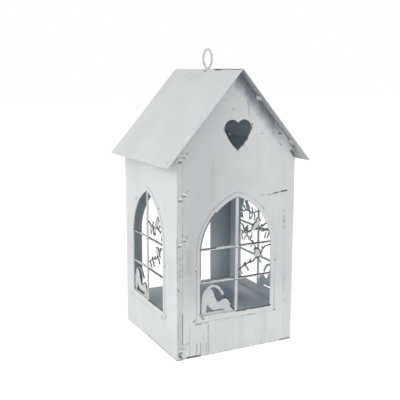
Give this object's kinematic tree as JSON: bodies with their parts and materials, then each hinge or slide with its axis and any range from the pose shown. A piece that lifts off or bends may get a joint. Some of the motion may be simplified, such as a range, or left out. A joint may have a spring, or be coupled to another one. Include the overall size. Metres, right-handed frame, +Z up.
{
  "type": "birdhouse",
  "caption": "Gabled sheet-metal birdhouse with barred pointed windows, cat and bird cut-outs, a heart hole, an open arched back and a swivelling hanging eye.",
  "frame": {"origin": "centre of the footprint on the ground, under the ridge", "axes": "+Z up, -Y out through the gable with the heart, ridge along Y"},
  "size_m": [0.168, 0.158, 0.3198],
  "materials": {
    "wall_paint": "matt white-wash over steel, rubbed through to dark metal at edges and scratches",
    "roof_paint": "matt white-wash over steel, rubbed through along the ridge and the sheet's edges",
    "floor_paint": "matt white-wash over steel, dusty and lightly scuffed",
    "window_paint": "matt white-wash over cut steel strip, cut edges bare and dark",
    "weld_paint": "painted weld bead, lumpy, dark specks round its foot",
    "eye_wire": "thin white-wash over steel wire, worn grey"
  },
  "bodies": {
    "house": {"back_wall": "wall_paint", "corner_welds": "weld_paint", "floor_tray": "floor_paint", "front_cat": "window_paint", "front_lower_bird": "window_paint", "front_lower_crossbar": "window_paint", "front_mullion": "window_paint", "front_upper_bird": "window_paint", "front_upper_crossbar": "window_paint", "front_wall": "wall_paint", "front_window_frame": "window_paint", "left_cat": "window_paint", "left_lower_bird": "window_paint", "left_lower_crossbar": "window_paint", "left_mullion": "window_paint", "left_upper_bird": "window_paint", "left_upper_crossbar": "window_paint", "left_wall": "wall_paint", "left_window_frame": "window_paint", "right_cat": "window_paint", "right_lower_bird": "window_paint", "right_lower_crossbar": "window_paint", "right_mullion": "window_paint", "right_upper_bird": "window_paint", "right_upper_crossbar": "window_paint", "right_wall": "wall_paint", "right_window_frame": "window_paint", "roof_sheet": "roof_paint", "roof_welds": "weld_paint", "window_welds": "weld_paint"},
    "eye": {"hanging_eye": "eye_wire"}
  },
  "joints": [
    {"name": "eye_swivel", "type": "hinge", "parent": "house", "child": "eye", "pos_m": [0, -0.0015, 0.2975], "axis": [0, 0, 1], "continuous": true}
  ]
}
